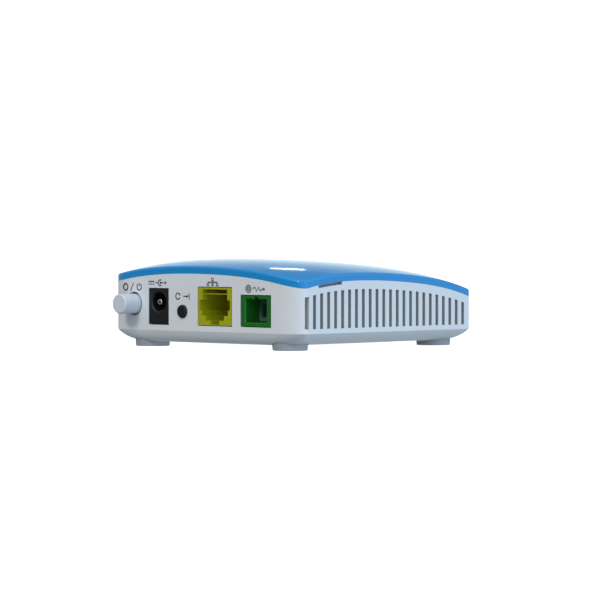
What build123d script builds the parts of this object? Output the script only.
"""Optical network terminal: a small two-shell box with its sockets, buttons and boards.

The ports face -Y, the vent walls are the two X sides, +Z is up and Z = 0 is the
surface that the rubber feet stand on.  X = 0 is the middle of the box.  Y = 0 is the
middle of the whole depth, with the power button that stands out at the rear.
"""
import os

from build123d import *

os.makedirs("parts", exist_ok=True)

# ---- driving dimensions, in mm ------------------------------------------------------
# casing
body_width = 87.4
body_length = 86.7
corner_x = 10.0  # how far a corner's curve runs along the rear or front wall
corner_y = 4.0  # how far it runs along a side wall
wall = 2.0
floor_thickness = 1.8
underside_z = 1.75
# the wall turns in below the crease: height, run at a side wall and run at an end wall
bevel_steps = [(5.6, 0.0, 0.0), (4.7, 1.0, 0.38), (2.5, 5.3, 2.0), (underside_z, 9.0, 3.6)]
floor_side = 3.7  # run of the hollow at the floor's inner face
floor_end = 1.4
cover_wall = 1.8
rim_height = 2.45  # the cover's band above the parting line
dome_edge = 0.8  # round on the band's upper edge
dome_flatten = 1.0  # how much lower the dome is at its middle than the rim's own curve

# the parting line is the edge of a gently domed sheet, highest at the middle
crown_room = 7.22  # the sheet's middle above the LAN socket's top
side_lean = 0.77
side_fall = 2.79
side_turn = 1.57
front_slope = 1.97
end_fall = 2.83
end_turn = 1.98
sheet_reach = 1.15  # the sheet's half size over the casing's

# lip that centres the cover in the base
lip_gap = 0.15
lip_thickness = 1.0
lip_depth = 1.8

# vents and release notch in each side wall
vent_count = 24
vent_width = 1.45
vent_start = 3.5  # first vent's middle, from the rear wall
vent_end = 6.61  # last vent's middle, from the front wall
vent_low_z = 7.15
vent_head = 2.8  # wall left between a vent's head and the parting line
notch_start = 8.7
notch_length = 11.1
notch_height = 1.0
notch_depth = 1.6

# rubber feet
foot_radius = 5.9
foot_side = 11.9  # foot centre from the side wall
foot_end = 8.0  # foot centre from the rear or front wall
foot_recess = 1.2
foot_taper = 0.25
foot_edge = 0.3
recess_gap = 0.15

# circuit board
board_thickness = 1.6
board_top_z = 7.7
board_corner = 6.5
board_side_gap = 2.7  # board edge from a side wall's inner face
board_rear_gap = 0.5
board_front_gap = 10.2
port_gap = 0.25  # all round a socket in its opening

# free lengths of the rear wall's inner face, from the left wall to the power button, the DC
# socket, the reset button, the LAN socket, the optical adapter and the right wall; where the
# wall is longer or shorter, they keep these proportions
rear_gaps = (5.1, 3.4, 4.55, 5.0, 4.35, 11.0)

# LAN socket (8P8C)
lan_side_wall = 0.7  # plastic left beside the cavity
lan_height = 12.4
lan_length = 16.0
lan_depth = 13.0  # plug cavity
lan_rim = 0.6  # plastic left above the cavity
lan_shelf_drop = 2.1  # thin shelf across the cavity's upper part, below the socket's top
lan_shelf = 0.3
lan_shelf_front = 0.8
lan_shelf_back = 2.8
# half widths of the cavity's levels, and where each level starts above the board
lan_notch_half = 2.0
lan_step_half = 4.25
lan_low_half = 6.0
lan_wide_half = 6.95
lan_top_half = 5.7
lan_floor = 0.25
lan_step_z = 1.6
lan_low_z = 3.2
lan_wide_z = 5.0
lan_roof_z = 8.3
contact_count = 8
contact_pitch = 1.02
contact_width = 0.45
contact_metal = 0.3
contact_gap = 0.1
contact_toe = 2.2  # from the socket's face
contact_knee = 9.0
contact_drop = 1.8

# DC power socket
dc_side_wall = 1.3  # plastic left beside the bore
dc_height = 11.7
dc_length = 14.0
dc_bore_radius = 3.2
dc_bore_depth = 10.0
dc_bore_drop = 4.4  # bore centre below the socket's top
dc_pin_radius = 1.0
dc_pin_setback = 0.4
dc_pin_hole = 0.4
dc_pin_slot = 3.0  # depth of the pin's hole
dc_mouth = 0.35  # chamfer round the bore
dc_strip_setback = 1.5
dc_strip_width = 1.4
dc_strip_length = 7.0
dc_strip_thickness = 0.4
dc_strip_gap = 0.2

# optical adapter (SC)
adapter_side_wall = 1.95
adapter_roof = 1.25
adapter_mouth = 0.3  # chamfer round the cavity
adapter_front = 11.0  # depth of the outer plug cavity
adapter_web = 2.0  # wall that carries the sleeve
adapter_back = 8.0  # depth of the inner plug cavity
cavity_width = 9.3
cavity_height = 7.5
key_width = 2.0
key_height = 0.7
sleeve_wall = 0.33
sleeve_gap = 0.02  # round the ferrule
sleeve_out = 3.0  # sleeve standing out of the web into the outer cavity
sleeve_back = 3.0
latch_gap = 0.3
latch_length = 3.6
latch_setback = 6.2  # latch block's face from the socket's face
latch_wall = 1.3

# fibre lead inside the box
plug_clearance = 0.15
plug_length = 15.0
ferrule_radius = 1.25
boot_radius = 1.7
boot_length = 7.0
fibre_radius = 0.45
fibre_front = 18.0  # fibre's cross run, from the front wall
fibre_side = 1.6  # fibre's return run, from the power button's middle
guide_size = 3.0
guide_gap = 0.1
guide_reach = 5.0  # each guide from the middle of the cross run
guide_head = 1.5  # guide above the fibre's middle
module_radius = 3.0
module_length = 9.0
module_gap = 0.4

# power button and its switch
button_z = 14.3
button_radius = 3.3
button_hole_gap = 0.7
button_out = 7.0
button_inside = 7.0
button_fillet = 0.5
button_travel = 3.0
travel_room = 0.6
socket_depth = 4.0
plunger_size = 3.0
plunger_gap = 0.3
plunger_inside = 3.0
switch_width = 9.0
switch_length = 12.0

# reset button and its switch
reset_z = 12.05
reset_radius = 2.15
reset_hole_gap = 0.1
reset_out = 0.7
reset_travel = 0.3
reset_stem_radius = 1.3
reset_stem_gap = 0.1
reset_body = 7.0
reset_body_length = 5.0
reset_body_room = 0.9
reset_stem_end = 1.0  # stem inside the switch

# screws
screw_radius = 1.15
pilot_gap = 0.05
screw_hole_gap = 0.2  # round a screw in the part that it clamps
screw_end_gap = 0.35
screw_head_radius = 2.3
screw_head_height = 1.5
screw_head_gap = 0.3
cross_length = 2.6
cross_width = 0.6
cross_depth = 0.8
case_screw_length = 12.0
case_screw_room = 5.0  # pilot hole beyond the screw's end
board_screw_side = 3.2  # screw from the board's side edge
board_screw_rear = 4.0
board_screw_front = 5.0
boss_radius = 2.6
case_boss_radius = 4.0
case_boss_top = 7.6
post_gap = 0.15

# lights at the front
light_count = 5
light_pitch = 8.0
light_radius = 1.1
light_gap = 0.1
light_front = 14.8  # row of lights, from the front wall
light_bar = 1.6
light_bar_lift = 9.0  # bar that joins the guides, above the board
led_width = 1.6
led_length = 0.8
led_height = 0.8
led_gap = 0.5

# ---- places that follow from them ---------------------------------------------------
rear_y = (button_out - body_length) / 2
front_y = rear_y + body_length
mid_y = (rear_y + front_y) / 2
half_width = body_width / 2
half_length = body_length / 2
floor_z = underside_z + floor_thickness
boss_low_z = underside_z + floor_thickness / 2
board_low_z = board_top_z - board_thickness
board_width = body_width - 2 * (wall + board_side_gap)
board_length = body_length - 2 * wall - board_rear_gap - board_front_gap
board_rear_y = rear_y + wall + board_rear_gap
board_front_y = board_rear_y + board_length
crown_z = board_top_z + lan_height + crown_room
tall = crown_z + 10.0
vent_pitch = (body_length - vent_start - vent_end) / (vent_count - 1)
lan_width = 2 * (lan_wide_half + lan_side_wall)
dc_width = 2 * (dc_bore_radius + dc_side_wall)
adapter_width = cavity_width + 2 * adapter_side_wall
adapter_height = cavity_height + 2 * adapter_roof
sleeve_bore = ferrule_radius + sleeve_gap
sleeve_radius = sleeve_bore + sleeve_wall
button_hole = button_radius + button_hole_gap
reset_hole = reset_radius + reset_hole_gap
rear_widths = (2 * button_hole, dc_width, 2 * reset_hole, lan_width, adapter_width)
rear_spare = body_width - 2 * wall - sum(rear_widths)
rear_spots = []
edge = -half_width + wall
for gap, width in zip(rear_gaps, rear_widths):
    edge += rear_spare * gap / sum(rear_gaps)
    rear_spots.append(edge + width / 2)
    edge += width
button_x, dc_x, reset_x, lan_x, adapter_x = rear_spots
foot_spots = {
    "foot_rear_left": (-half_width + foot_side, rear_y + foot_end),
    "foot_rear_right": (half_width - foot_side, rear_y + foot_end),
    "foot_front_left": (-half_width + foot_side, front_y - foot_end),
    "foot_front_right": (half_width - foot_side, front_y - foot_end),
}
case_screw_spots = [foot_spots["foot_front_left"], foot_spots["foot_front_right"]]
board_screw_x = board_width / 2 - board_screw_side
board_screw_length = board_top_z - boss_low_z - screw_end_gap
board_screw_spots = [
    (side * board_screw_x, y)
    for side in (-1, 1)
    for y in (board_rear_y + board_screw_rear, board_front_y - board_screw_front)
]

# weights that turn u, u squared and u to the fourth into a five-point Bezier row
LINEAR = (-1.0, -0.5, 0.0, 0.5, 1.0)
SQUARE = (1.0, 0.0, -1.0 / 3.0, 0.0, 1.0)
FOURTH = (1.0, -1.0, 1.0, -1.0, 1.0)


def domed_sheet(lift, flatten=0.0):
    """The parting line's curved sheet, raised by lift and lowered at its middle."""
    reach = sheet_reach
    rows = []
    for i in range(5):
        row = []
        across = side_lean * reach * LINEAR[i] + side_fall * reach**2 * SQUARE[i]
        across += side_turn * reach**4 * FOURTH[i]
        for j in range(5):
            along = front_slope * reach * LINEAR[j] + end_fall * reach**2 * SQUARE[j]
            along += end_turn * reach**4 * FOURTH[j]
            middle = (1 - reach**2 * SQUARE[i]) * (1 - reach**2 * SQUARE[j])
            x = half_width * reach * LINEAR[i]
            y = mid_y + half_length * reach * LINEAR[j]
            row.append((x, y, crown_z + lift - across - along - flatten * middle))
        rows.append(row)
    return Face.make_bezier_surface(rows)


def space_over(lift, flatten=0.0):
    """Everything above the raised sheet, as a cutter."""
    return Solid.extrude(domed_sheet(lift, flatten), (0, 0, tall))


def space_under(lift, flatten=0.0):
    """Everything below the raised sheet, as a cutter."""
    return Solid.extrude(domed_sheet(lift, flatten), (0, 0, -tall * 2))


def box_outline(side_inset, end_inset):
    """Box outline seen from above, moved in from its walls, with elliptical corners."""
    rx = corner_x
    ry = corner_y
    x = half_width - side_inset
    y0 = rear_y + end_inset
    y1 = front_y - end_inset
    with BuildSketch() as outline:
        with BuildLine():
            Line((-x + rx, y0), (x - rx, y0))
            EllipticalCenterArc((x - rx, y0 + ry), rx, ry, start_angle=-90, arc_size=90)
            Line((x, y0 + ry), (x, y1 - ry))
            EllipticalCenterArc((x - rx, y1 - ry), rx, ry, start_angle=0, arc_size=90)
            Line((x - rx, y1), (-x + rx, y1))
            EllipticalCenterArc((-x + rx, y1 - ry), rx, ry, start_angle=90, arc_size=90)
            Line((-x, y1 - ry), (-x, y0 + ry))
            EllipticalCenterArc((-x + rx, y0 + ry), rx, ry, start_angle=180, arc_size=90)
        make_face()
    return outline.sketch


def finish(part, name):
    """Label a finished piece and write it out."""
    part.label = name
    export_step(part, f"parts/{name}.step")


# ---- cutters shared by the casing's two shells --------------------------------------
with BuildPart() as vent_cutters:
    for side in (-1, 1):
        for k in range(vent_count):
            y = rear_y + vent_start + k * vent_pitch
            with Locations((side * half_width, y, vent_low_z)):
                Box(wall * 3, vent_width, tall, align=(Align.CENTER, Align.CENTER, Align.MIN))
    add(space_over(-vent_head), mode=Mode.SUBTRACT)

with BuildPart() as notch_cutters:
    for side in (-1, 1):
        with Locations((side * half_width, rear_y + notch_start + notch_length / 2, 0)):
            Box(notch_depth * 2, notch_length, tall * 2)
    add(space_under(-notch_height), mode=Mode.SUBTRACT)

# ---- base shell: tray with the bevelled lower edge, sockets' wall and vents ---------
bevel_top_z = bevel_steps[0][0]
with BuildPart() as base_shell:
    for z, side_run, end_run in reversed(bevel_steps):
        with BuildSketch(Plane.XY.offset(z)):
            add(box_outline(side_run, end_run))
    loft()
    with BuildSketch(Plane.XY.offset(bevel_top_z)):
        add(box_outline(0, 0))
    extrude(amount=tall)
    with BuildSketch(Plane.XY.offset(floor_z)):
        add(box_outline(wall + floor_side, wall + floor_end))
    with BuildSketch(Plane.XY.offset(bevel_top_z + 1.0)):
        add(box_outline(wall, wall))
    loft(mode=Mode.SUBTRACT)
    with BuildSketch(Plane.XY.offset(bevel_top_z + 1.0)):
        add(box_outline(wall, wall))
    extrude(amount=tall, mode=Mode.SUBTRACT)
    # bosses under the board and round the case screws
    with BuildSketch(Plane.XY.offset(boss_low_z)):
        with Locations(*board_screw_spots):
            Circle(boss_radius)
    extrude(amount=board_low_z - boss_low_z)
    with BuildSketch(Plane.XY.offset(boss_low_z)):
        with Locations(*case_screw_spots):
            Circle(case_boss_radius)
    extrude(amount=case_boss_top - boss_low_z)
    with BuildSketch(Plane.XY.offset(board_low_z)):
        with Locations(*board_screw_spots):
            Circle(screw_radius + pilot_gap)
    extrude(amount=-(board_low_z - boss_low_z), mode=Mode.SUBTRACT)
    with BuildSketch(Plane.XY):
        with Locations(*case_screw_spots):
            Circle(screw_radius + screw_hole_gap)
    extrude(amount=tall, mode=Mode.SUBTRACT)
    with BuildSketch(Plane.XY):
        with Locations(*case_screw_spots):
            Circle(screw_head_radius + screw_head_gap)
    extrude(amount=underside_z + foot_recess + screw_head_height, mode=Mode.SUBTRACT)
    # recesses for the feet
    with BuildSketch(Plane.XY):
        with Locations(*foot_spots.values()):
            Circle(foot_radius + recess_gap)
    extrude(amount=underside_z + foot_recess, mode=Mode.SUBTRACT)
    # openings in the rear wall
    with BuildSketch(Plane.XZ.offset(-rear_y + 1.0)):
        low = board_top_z - port_gap
        with Locations((lan_x, low)):
            Rectangle(
                lan_width + 2 * port_gap, lan_height + 2 * port_gap, align=(Align.CENTER, Align.MIN)
            )
        with Locations((dc_x, low)):
            Rectangle(
                dc_width + 2 * port_gap, dc_height + 2 * port_gap, align=(Align.CENTER, Align.MIN)
            )
        with Locations((adapter_x, low)):
            Rectangle(
                adapter_width + 2 * port_gap,
                adapter_height + 2 * port_gap,
                align=(Align.CENTER, Align.MIN),
            )
        with Locations((button_x, button_z)):
            Circle(button_hole)
        with Locations((reset_x, reset_z)):
            Circle(reset_hole)
    extrude(amount=-(wall + 1.5), mode=Mode.SUBTRACT)
    add(vent_cutters.part, mode=Mode.SUBTRACT)
    add(notch_cutters.part, mode=Mode.SUBTRACT)
    add(space_over(0), mode=Mode.SUBTRACT)
finish(base_shell.part, "base_shell")

# ---- top cover: domed shell with its band, centring lip and screw posts -------------
light_y = front_y - light_front
light_spots = [((k - (light_count - 1) / 2) * light_pitch, light_y) for k in range(light_count)]

with BuildPart() as cover_hollow:
    with BuildSketch(Plane.XY):
        add(box_outline(wall, wall))
    extrude(amount=tall)
    add(space_over(rim_height - cover_wall, dome_flatten), mode=Mode.SUBTRACT)

lip_outer = wall + lip_gap
lip_inner = lip_outer + lip_thickness
with BuildPart() as cover_lip:
    with BuildSketch(Plane.XY):
        add(box_outline(lip_outer, lip_outer))
    extrude(amount=tall)
    with BuildSketch(Plane.XY):
        add(box_outline(lip_inner, lip_inner))
    extrude(amount=tall, mode=Mode.SUBTRACT)
    add(space_under(-lip_depth), mode=Mode.SUBTRACT)

with BuildPart() as top_cover:
    with BuildSketch(Plane.XY):
        add(box_outline(0, 0))
    extrude(amount=tall)
    add(space_under(0), mode=Mode.SUBTRACT)
    add(cover_hollow.part, mode=Mode.SUBTRACT)
    add(cover_lip.part)
    with BuildSketch(Plane.XY.offset(case_boss_top + post_gap)):
        with Locations(*case_screw_spots):
            Circle(boss_radius)
    extrude(amount=tall)
    with BuildSketch(Plane.XY):
        with Locations(*case_screw_spots):
            Circle(screw_radius + pilot_gap)
    extrude(amount=case_screw_length + case_screw_room, mode=Mode.SUBTRACT)
    with BuildSketch(Plane.XY):
        with Locations(*light_spots):
            Circle(light_radius + light_gap)
    extrude(amount=tall * 2, mode=Mode.SUBTRACT)
    add(space_over(rim_height, dome_flatten), mode=Mode.SUBTRACT)
    dome = top_cover.faces().filter_by(GeomType.BEZIER).sort_by(Axis.Z)[-1]
    fillet(dome.outer_wire().edges(), dome_edge)
finish(top_cover.part, "top_cover")

# ---- rubber feet and the screws that they hide --------------------------------------
for name, spot in foot_spots.items():
    with BuildPart() as foot:
        with BuildSketch(Plane.XY):
            with Locations(spot):
                Circle(foot_radius - foot_taper)
        with BuildSketch(Plane.XY.offset(underside_z + foot_recess)):
            with Locations(spot):
                Circle(foot_radius)
        loft()
        fillet(foot.edges().group_by(Axis.Z)[0], foot_edge)
    finish(foot.part, name)

case_head_z = underside_z + foot_recess + screw_head_height
with BuildPart() as case_screws:
    with BuildSketch(Plane.XY.offset(case_head_z)):
        with Locations(*case_screw_spots):
            Circle(screw_head_radius)
    extrude(amount=-screw_head_height + pilot_gap)
    with BuildSketch(Plane.XY.offset(case_head_z)):
        with Locations(*case_screw_spots):
            Circle(screw_radius)
    extrude(amount=case_screw_length)
    with BuildSketch(Plane.XY.offset(case_head_z - screw_head_height)):
        with Locations(*case_screw_spots):
            Rectangle(cross_length, cross_width)
            Rectangle(cross_width, cross_length)
    extrude(amount=cross_depth, mode=Mode.SUBTRACT)
finish(case_screws.part, "case_screws")

# ---- circuit board and what holds it ------------------------------------------------
with BuildPart() as main_board:
    with BuildSketch(Plane.XY.offset(board_low_z)):
        with Locations((0, (board_rear_y + board_front_y) / 2)):
            RectangleRounded(board_width, board_length, board_corner)
        with Locations(*board_screw_spots):
            Circle(screw_radius + screw_hole_gap, mode=Mode.SUBTRACT)
    extrude(amount=board_thickness)
finish(main_board.part, "main_board")

with BuildPart() as board_screws:
    with BuildSketch(Plane.XY.offset(board_top_z)):
        with Locations(*board_screw_spots):
            Circle(screw_head_radius)
    extrude(amount=screw_head_height)
    with BuildSketch(Plane.XY.offset(board_top_z)):
        with Locations(*board_screw_spots):
            Circle(screw_radius)
    extrude(amount=-board_screw_length)
    with BuildSketch(Plane.XY.offset(board_top_z + screw_head_height)):
        with Locations(*board_screw_spots):
            Rectangle(cross_length, cross_width)
            Rectangle(cross_width, cross_length)
    extrude(amount=-cross_depth, mode=Mode.SUBTRACT)
finish(board_screws.part, "board_screws")

rear_plane = Plane.XZ.offset(-rear_y)  # local x is X, local y is Z, outward is -Y
CENTRE_LOW = (Align.CENTER, Align.MIN)

# ---- LAN socket: yellow housing with a stepped cavity and eight spring contacts -----
lan_top_z = board_top_z + lan_height
lan_levels = [
    (lan_notch_half, lan_floor),
    (lan_step_half, lan_step_z),
    (lan_low_half, lan_low_z),
    (lan_wide_half, lan_wide_z),
    (lan_top_half, lan_roof_z),
]
with BuildPart() as lan_jack_housing:
    with BuildSketch(rear_plane):
        with Locations((lan_x, board_top_z)):
            Rectangle(lan_width, lan_height, align=CENTRE_LOW)
    extrude(amount=-lan_length)
    with BuildSketch(rear_plane):
        for k, (half, low) in enumerate(lan_levels):
            high = lan_levels[k + 1][1] if k + 1 < len(lan_levels) else lan_height - lan_rim
            with Locations((lan_x, board_top_z + low)):
                Rectangle(2 * half, high - low, align=CENTRE_LOW)
    extrude(amount=-lan_depth, mode=Mode.SUBTRACT)
    with BuildSketch(rear_plane.offset(-lan_shelf_front)):
        with Locations((lan_x, lan_top_z - lan_shelf_drop)):
            Rectangle(2 * lan_top_half, lan_shelf)
    extrude(amount=-(lan_shelf_back - lan_shelf_front))
finish(lan_jack_housing.part, "lan_jack_housing")

with BuildPart() as lan_jack_contacts:
    contact_high = lan_top_z - lan_rim - contact_gap
    heel_y = rear_y + lan_depth - contact_gap
    knee_y = rear_y + contact_knee
    toe_y = rear_y + contact_toe
    for k in range(contact_count):
        x = lan_x + (k - (contact_count - 1) / 2) * contact_pitch
        with BuildSketch(Plane.YZ.offset(x)):
            with BuildLine():
                Polyline(
                    (toe_y, contact_high - contact_metal),
                    (toe_y + 0.8, contact_high - contact_metal),
                    (knee_y, contact_high - contact_drop - contact_metal),
                    (heel_y, contact_high - 2 * contact_metal),
                    (heel_y, contact_high - contact_metal),
                    (knee_y, contact_high - contact_drop),
                    (toe_y + 0.8, contact_high),
                    (toe_y, contact_high),
                    close=True,
                )
            make_face()
        extrude(amount=contact_width / 2, both=True)
finish(lan_jack_contacts.part, "lan_jack_contacts")

# ---- DC power socket ----------------------------------------------------------------
dc_top_z = board_top_z + dc_height
dc_z = dc_top_z - dc_bore_drop
with BuildPart() as dc_jack_housing:
    with BuildSketch(rear_plane):
        with Locations((dc_x, board_top_z)):
            Rectangle(dc_width, dc_height, align=CENTRE_LOW)
    extrude(amount=-dc_length)
    with BuildSketch(rear_plane):
        with Locations((dc_x, dc_z)):
            Circle(dc_bore_radius)
    extrude(amount=-dc_bore_depth, mode=Mode.SUBTRACT)
    chamfer(dc_jack_housing.faces().sort_by(Axis.Y)[0].inner_wires()[0].edges(), dc_mouth)
    with BuildSketch(rear_plane.offset(-dc_strip_setback)):
        with Locations((dc_x, dc_z - dc_bore_radius)):
            Rectangle(dc_strip_width + dc_strip_gap, 2 * dc_strip_thickness + dc_strip_gap)
    extrude(amount=-(dc_bore_depth - dc_strip_setback), mode=Mode.SUBTRACT)
finish(dc_jack_housing.part, "dc_jack_housing")

with BuildPart() as dc_jack_pin:
    with BuildSketch(rear_plane.offset(-dc_bore_depth)):
        with Locations((dc_x, dc_z)):
            Circle(dc_pin_radius)
    extrude(amount=dc_bore_depth - dc_pin_setback)
    fillet(dc_jack_pin.faces().sort_by(Axis.Y)[0].edges(), (dc_pin_radius - dc_pin_hole) / 2)
    with BuildSketch(rear_plane.offset(-dc_pin_setback)):
        with Locations((dc_x, dc_z)):
            Circle(dc_pin_hole)
    extrude(amount=-dc_pin_slot, mode=Mode.SUBTRACT)
finish(dc_jack_pin.part, "dc_jack_pin")

with BuildPart() as dc_jack_contact:
    with BuildSketch(rear_plane.offset(-dc_strip_setback - dc_strip_gap)):
        with Locations((dc_x, dc_z - dc_bore_radius)):
            Rectangle(dc_strip_width, 2 * dc_strip_thickness)
    extrude(amount=-dc_strip_length)
finish(dc_jack_contact.part, "dc_jack_contact")

# ---- optical adapter, its sleeve and latch ------------------------------------------
adapter_z = board_top_z + adapter_height / 2
adapter_length = adapter_front + adapter_web + adapter_back
web_y = rear_y + adapter_front
with BuildPart() as optical_adapter:
    with BuildSketch(rear_plane):
        with Locations((adapter_x, adapter_z)):
            Rectangle(adapter_width, adapter_height)
    extrude(amount=-adapter_length)
    with BuildSketch(rear_plane):
        with Locations((adapter_x, adapter_z)):
            Rectangle(cavity_width, cavity_height)
        with Locations((adapter_x, adapter_z + cavity_height / 2)):
            Rectangle(key_width, 2 * key_height)
    extrude(amount=-adapter_front, mode=Mode.SUBTRACT)
    chamfer(optical_adapter.faces().sort_by(Axis.Y)[0].inner_wires()[0].edges(), adapter_mouth)
    with BuildSketch(rear_plane.offset(-adapter_length)):
        with Locations((adapter_x, adapter_z)):
            Rectangle(cavity_width, cavity_height)
    extrude(amount=adapter_back, mode=Mode.SUBTRACT)
    with BuildSketch(rear_plane):
        with Locations((adapter_x, adapter_z)):
            Circle(sleeve_radius)
    extrude(amount=-adapter_length, mode=Mode.SUBTRACT)
finish(optical_adapter.part, "optical_adapter")

with BuildPart() as adapter_sleeve:
    with BuildSketch(rear_plane.offset(-(adapter_front - sleeve_out))):
        with Locations((adapter_x, adapter_z)):
            Circle(sleeve_radius)
            Circle(sleeve_bore, mode=Mode.SUBTRACT)
    extrude(amount=-(sleeve_out + adapter_web + sleeve_back))
finish(adapter_sleeve.part, "adapter_sleeve")

with BuildPart() as adapter_latch:
    with BuildSketch(rear_plane.offset(-latch_setback)):
        with Locations((adapter_x, adapter_z)):
            Rectangle(cavity_width - 2 * latch_gap, cavity_height - 2 * latch_gap)
            Rectangle(
                cavity_width - 2 * latch_gap - 2 * latch_wall,
                cavity_height - 2 * latch_gap - 2 * latch_wall,
                mode=Mode.SUBTRACT,
            )
    extrude(amount=-(adapter_front - latch_setback))
finish(adapter_latch.part, "adapter_latch")

# ---- pigtail: plug, ferrule, boot, fibre, its guides and the optical module ---------
plug_front_y = web_y + adapter_web + sleeve_back + 0.4
plug_back_y = plug_front_y + plug_length
with BuildPart() as pigtail_plug:
    with BuildSketch(Plane.XZ.offset(-plug_front_y)):
        with Locations((adapter_x, adapter_z)):
            Rectangle(cavity_width - 2 * plug_clearance, cavity_height - 2 * plug_clearance)
    extrude(amount=-plug_length)
    chamfer(pigtail_plug.edges().filter_by(Axis.Y), 0.6)
    with BuildSketch(Plane.XZ.offset(-plug_front_y)):
        with Locations((adapter_x, adapter_z)):
            Circle(ferrule_radius)
    extrude(amount=-plug_length / 2, mode=Mode.SUBTRACT)
finish(pigtail_plug.part, "pigtail_plug")

with BuildPart() as pigtail_ferrule:
    with BuildSketch(Plane.XZ.offset(-(web_y + adapter_web / 2))):
        with Locations((adapter_x, adapter_z)):
            Circle(ferrule_radius)
    extrude(amount=-(plug_front_y + plug_length / 2 - web_y - adapter_web / 2))
finish(pigtail_ferrule.part, "pigtail_ferrule")

with BuildPart() as pigtail_boot:
    with BuildSketch(Plane.XZ.offset(-plug_back_y)):
        with Locations((adapter_x, adapter_z)):
            Circle(boot_radius * 1.3)
    with BuildSketch(Plane.XZ.offset(-(plug_back_y + boot_length))):
        with Locations((adapter_x, adapter_z)):
            Circle(boot_radius * 0.7)
    loft()
    with BuildSketch(Plane.XZ.offset(-plug_back_y)):
        with Locations((adapter_x, adapter_z)):
            Circle(fibre_radius)
    extrude(amount=-boot_length, mode=Mode.SUBTRACT)
finish(pigtail_boot.part, "pigtail_boot")

# the fibre runs forward, across the front and back down the left side to the module
fibre_y = front_y - fibre_front
fibre_left_x = button_x + fibre_side
button_inner_y = rear_y + button_inside
switch_front_y = button_inner_y + button_travel + travel_room
switch_back_y = switch_front_y + switch_length
module_back_y = switch_back_y + module_gap
module_front_y = module_back_y + module_length
fibre_turns = [
    (adapter_x, plug_back_y, adapter_z),
    (adapter_x, fibre_y, adapter_z),
    (fibre_left_x, fibre_y, adapter_z),
    (fibre_left_x, module_front_y, adapter_z),
]
right_run = fibre_y - plug_back_y
left_run = fibre_y - module_front_y
cross_run = adapter_x - fibre_left_x
fibre_bend = min(0.6 * right_run, 0.6 * left_run, 0.36 * cross_run)
print("fibre bend radius", fibre_bend)
with BuildPart() as pigtail_fibre:
    with BuildLine():
        FilletPolyline(*fibre_turns, radius=fibre_bend)
    with BuildSketch(Plane.XZ.offset(-plug_back_y)):
        with Locations((adapter_x, adapter_z)):
            Circle(fibre_radius)
    sweep()
finish(pigtail_fibre.part, "pigtail_fibre")

cross_middle_x = (adapter_x + fibre_left_x) / 2
guide_xs = (cross_middle_x - guide_reach, cross_middle_x + guide_reach)
with BuildPart() as fibre_guides:
    for x in guide_xs:
        with BuildSketch(Plane.XY.offset(board_top_z)):
            with Locations((x, fibre_y)):
                Rectangle(guide_size, guide_size)
        extrude(amount=adapter_z + guide_head - board_top_z)
    with BuildSketch(Plane.YZ.offset(-half_width)):
        with Locations((fibre_y, adapter_z)):
            Circle(fibre_radius + guide_gap)
    extrude(amount=body_width, mode=Mode.SUBTRACT)
finish(fibre_guides.part, "fibre_guides")

with BuildPart() as optical_module:
    with BuildSketch(Plane.XZ.offset(-module_front_y)):
        with Locations((fibre_left_x, adapter_z)):
            Circle(module_radius)
    extrude(amount=module_length)
    with BuildSketch(Plane.XY.offset(board_top_z)):
        with Locations((fibre_left_x, (module_back_y + module_front_y) / 2)):
            Rectangle(module_radius * 1.4, module_length * 0.7)
    extrude(amount=adapter_z - board_top_z)
finish(optical_module.part, "optical_module")

# ---- power button: cap in its round hole, plunger and latching switch ---------------
with BuildPart() as power_button:
    with BuildSketch(Plane.XZ.offset(-button_inner_y)):
        with Locations((button_x, button_z)):
            Circle(button_radius)
    extrude(amount=button_inside + button_out)
    fillet(power_button.faces().sort_by(Axis.Y)[0].edges(), button_fillet)
    with BuildSketch(Plane.XZ.offset(-button_inner_y)):
        with Locations((button_x, button_z)):
            Rectangle(plunger_size, plunger_size)
    extrude(amount=socket_depth, mode=Mode.SUBTRACT)
finish(power_button.part, "power_button")

plunger_end_y = switch_front_y + plunger_inside
with BuildPart() as power_switch_plunger:
    with BuildSketch(Plane.XZ.offset(-plunger_end_y)):
        with Locations((button_x, button_z)):
            Rectangle(plunger_size, plunger_size)
    extrude(amount=plunger_end_y - button_inner_y + socket_depth)
finish(power_switch_plunger.part, "power_switch_plunger")

switch_top_z = 2 * button_z - board_top_z
with BuildPart() as power_switch_body:
    with BuildSketch(Plane.XZ.offset(-switch_front_y)):
        with Locations((button_x, button_z)):
            Rectangle(switch_width, switch_top_z - board_top_z)
    extrude(amount=-switch_length)
    with BuildSketch(Plane.XZ.offset(-switch_front_y)):
        with Locations((button_x, button_z)):
            Rectangle(plunger_size + 2 * plunger_gap, plunger_size + 2 * plunger_gap)
    extrude(amount=-(plunger_inside + button_travel + travel_room), mode=Mode.SUBTRACT)
finish(power_switch_body.part, "power_switch_body")

# ---- reset button and its tact switch -----------------------------------------------
reset_back_y = rear_y + wall + reset_body_room
with BuildPart() as reset_button:
    with BuildSketch(Plane.XZ.offset(-reset_back_y)):
        with Locations((reset_x, reset_z)):
            Circle(reset_radius)
    extrude(amount=reset_back_y - rear_y + reset_out)
    fillet(reset_button.faces().sort_by(Axis.Y)[0].edges(), 0.35)
    with BuildSketch(Plane.XZ.offset(-reset_back_y)):
        with Locations((reset_x, reset_z)):
            Circle(reset_stem_radius)
    extrude(amount=-(reset_body_room + reset_stem_end))
finish(reset_button.part, "reset_button")

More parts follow.
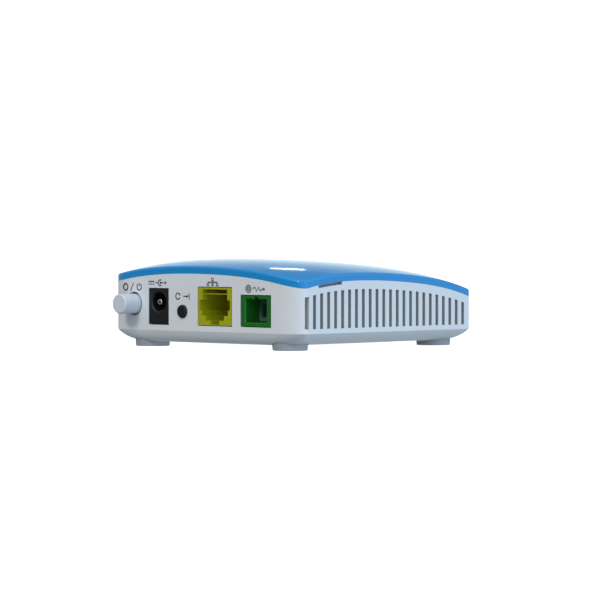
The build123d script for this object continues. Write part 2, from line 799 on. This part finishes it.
reset_body_y = reset_back_y + reset_body_room
with BuildPart() as reset_switch_body:
    with BuildSketch(Plane.XZ.offset(-reset_body_y)):
        with Locations((reset_x, board_top_z)):
            Rectangle(reset_body, reset_body + 0.5, align=CENTRE_LOW)
    extrude(amount=-reset_body_length)
    with BuildSketch(Plane.XZ.offset(-reset_body_y)):
        with Locations((reset_x, reset_z)):
            Circle(reset_stem_radius + reset_stem_gap)
    extrude(amount=-(reset_stem_end + reset_travel + travel_room), mode=Mode.SUBTRACT)
finish(reset_switch_body.part, "reset_switch_body")

# ---- lights -------------------------------------------------------------------------
with BuildPart() as status_leds:
    with BuildSketch(Plane.XY.offset(board_top_z)):
        with Locations(*light_spots):
            Rectangle(led_width, led_length)
    extrude(amount=led_height)
finish(status_leds.part, "status_leds")

with BuildPart() as light_guide:
    with BuildSketch(Plane.XY.offset(board_top_z + led_height + led_gap)):
        with Locations(*light_spots):
            Circle(light_radius)
    extrude(amount=tall)
    with BuildSketch(Plane.XY.offset(board_top_z + light_bar_lift)):
        with Locations((0, light_y)):
            Rectangle((light_count - 1) * light_pitch, light_bar)
    extrude(amount=light_bar)
    add(space_over(rim_height, dome_flatten), mode=Mode.SUBTRACT)
finish(light_guide.part, "light_guide")


# ---- chips and small parts on the board ---------------------------------------------
def block(name, spots, size, lift=0.0):
    """Blocks of one size, each standing on the board at its own spot."""
    width, length, height = size
    with BuildPart() as piece:
        with BuildSketch(Plane.XY.offset(board_top_z + lift)):
            with Locations(*spots):
                Rectangle(width, length)
        extrude(amount=height)
    finish(piece.part, name)


chip_size = 14.0
chip_height = 1.2
chip_shift = 5.45  # chip to the right of the fibre's middle
chip_rear = 41.35  # chip's middle from the rear wall
pad_height = 0.5
sink_size = 20.0
sink_base = 1.5
fin_height = 6.0
fin_count = 6
fin_thickness = 1.0
chip_x = cross_middle_x + chip_shift
chip_y = rear_y + chip_rear
chip_spot = (chip_x, chip_y)
block("main_chip", [chip_spot], (chip_size, chip_size, chip_height))
block("thermal_pad", [chip_spot], (chip_size, chip_size, pad_height), chip_height)
with BuildPart() as heat_sink:
    sink_z = board_top_z + chip_height + pad_height
    with BuildSketch(Plane.XY.offset(sink_z)):
        with Locations(chip_spot):
            Rectangle(sink_size, sink_size)
    extrude(amount=sink_base)
    with BuildSketch(Plane.XY.offset(sink_z + sink_base)):
        with Locations(chip_spot):
            with GridLocations((sink_size - fin_thickness) / (fin_count - 1), 0, fin_count, 1):
                Rectangle(fin_thickness, sink_size)
    extrude(amount=fin_height)
finish(heat_sink.part, "heat_sink")

# the memory stands left of the heat sink, and the supply parts between it and the module
memory_size = (8.0, 12.0, 1.0)
memory_gap = 3.0
inductor_size = (4.0, 4.0, 3.0)
transformer_size = (12.0, 7.0, 4.0)
transformer_gap = 1.0
lan_back_y = rear_y + lan_length
dc_back_y = rear_y + dc_length
memory_x = chip_x - sink_size / 2 - memory_gap - memory_size[0] / 2
supply_x = (memory_x - memory_size[0] / 2 + fibre_left_x + module_radius) / 2
supply_y = dc_back_y + 4.0
transformer_y = lan_back_y + transformer_gap + transformer_size[1] / 2
shield_x = (adapter_x + board_width / 2) / 2
block("memory_chip", [(memory_x, chip_y + 4.0)], memory_size)
block("flash_chip", [(memory_x, chip_y - 9.0)], (5.3, 5.3, 1.8))
block("lan_transformer", [(lan_x, transformer_y)], transformer_size)
block("laser_driver_chip", [(supply_x, chip_y)], (4.0, 4.0, 0.9))
block("regulator_chips", [(supply_x, chip_y + 10.0), (memory_x, chip_y + 14.5)], (3.0, 1.7, 1.1))
block("power_inductors", [(dc_x - 3.3, supply_y), (supply_x, chip_y + 5.0)], inductor_size)
block("clock_crystal", [(chip_x + 14.5, chip_y + 6.0)], (3.2, 5.0, 1.0))
block("shield_can", [(shield_x, chip_y + 2.0)], (8.0, 16.0, 2.5))

capacitor_radius = 2.6
capacitor_height = 6.5
capacitor_gap = 0.9
capacitor_spots = [
    (dc_x + 3.2, supply_y + 0.5),
    (dc_x + 10.7, supply_y + 0.5),
    (
        adapter_x - cavity_width / 2 - capacitor_gap - capacitor_radius,
        transformer_y + transformer_size[1] / 2 + capacitor_gap + capacitor_radius,
    ),
]
with BuildPart() as capacitors:
    with BuildSketch(Plane.XY.offset(board_top_z)):
        with Locations(*capacitor_spots):
            Circle(capacitor_radius)
    extrude(amount=capacitor_height)
    fillet(capacitors.edges().group_by(Axis.Z)[-1], 0.4)
finish(capacitors.part, "capacitors")

# resistors and small capacitors in rows round the heat sink
row_gap = 1.0  # row from the heat sink's edge
row_reach = sink_size / 2 + row_gap
with BuildPart() as small_parts:
    with BuildSketch(Plane.XY.offset(board_top_z)):
        with Locations((chip_x, chip_y + row_reach), (chip_x, chip_y - row_reach)):
            with GridLocations(2.6, 0, 6, 1):
                Rectangle(1.0, 0.5)
        with Locations((chip_x + row_reach, chip_y - 3.0), (chip_x - row_reach, chip_y + 4.0)):
            with GridLocations(0, 2.4, 1, 4):
                Rectangle(0.5, 1.0)
    extrude(amount=0.5)
finish(small_parts.part, "small_parts")

label_thickness = 0.1
with BuildPart() as rating_label:
    with BuildSketch(Plane.XY.offset(underside_z - label_thickness)):
        with Locations((0, mid_y)):
            RectangleRounded(44.0, 30.0, 1.5)
    extrude(amount=label_thickness)
finish(rating_label.part, "rating_label")
